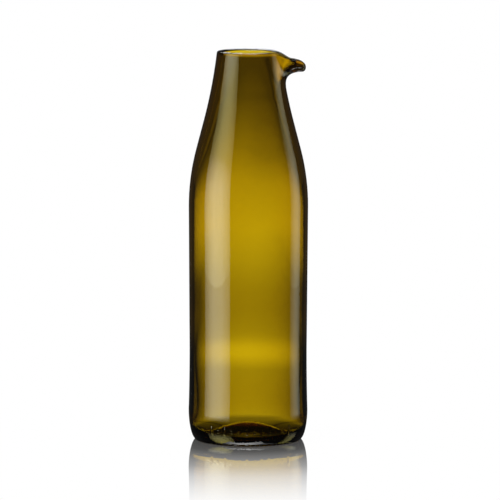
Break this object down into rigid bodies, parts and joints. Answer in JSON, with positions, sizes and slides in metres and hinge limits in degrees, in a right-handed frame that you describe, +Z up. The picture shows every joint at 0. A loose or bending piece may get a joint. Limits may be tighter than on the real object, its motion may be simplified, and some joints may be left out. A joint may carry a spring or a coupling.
{
  "type": "glass carafe",
  "caption": "Tall empty carafe of olive-amber bottle glass with a round body, sloping shoulder, open neck and a pulled pouring beak.",
  "frame": {"origin": "centre of the standing ring, where the axis meets the table", "axes": "+Z up along the axis of the body, +X towards the pouring beak"},
  "size_m": [0.0776, 0.0776, 0.2538],
  "materials": {
    "glass": "clear olive-amber container glass, smooth, lip melted round"
  },
  "bodies": {
    "root": {"carafe": "glass"}
  },
  "joints": []
}
